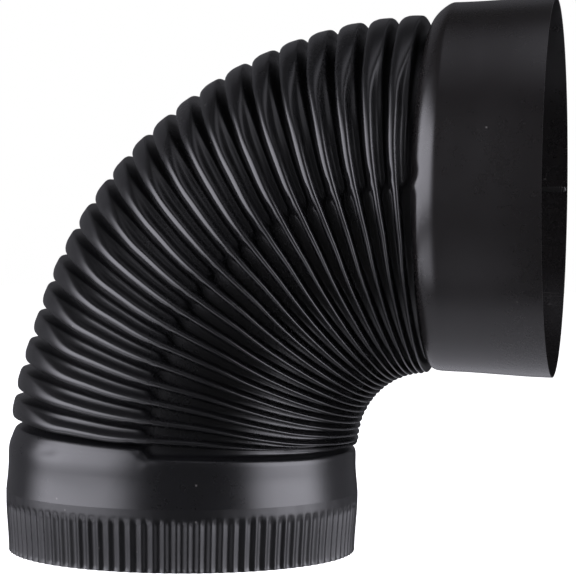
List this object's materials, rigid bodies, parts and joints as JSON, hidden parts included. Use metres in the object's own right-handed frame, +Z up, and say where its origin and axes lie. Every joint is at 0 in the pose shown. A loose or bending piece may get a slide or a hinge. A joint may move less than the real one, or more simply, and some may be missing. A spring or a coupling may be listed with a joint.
{
  "type": "flue elbow",
  "caption": "Right-angle corrugated steel flue elbow, painted satin black, with a crimped spigot that slips into a pipe and a plain socket that receives a pipe.",
  "frame": {"origin": "middle of the elbow's bounding box at its base, in the plane of the crimped rim", "axes": "+Z up, away from the crimped rim, which faces down; +X out of the plain socket; the bend lies in the XZ plane and Y runs across it"},
  "size_m": [0.2271, 0.1536, 0.2282],
  "materials": {
    "black_paint": "satin high-temperature black paint",
    "weld_paint": "satin black paint over a rippled weld bead"
  },
  "bodies": {
    "root": {"crimped_spigot": "black_paint", "lower_collar": "black_paint", "lower_folds": "black_paint", "middle_folds": "black_paint", "upper_folds": "black_paint", "plain_socket": "black_paint", "lower_collar_weld": "weld_paint", "bend_weld": "weld_paint", "socket_weld": "weld_paint"}
  },
  "joints": []
}
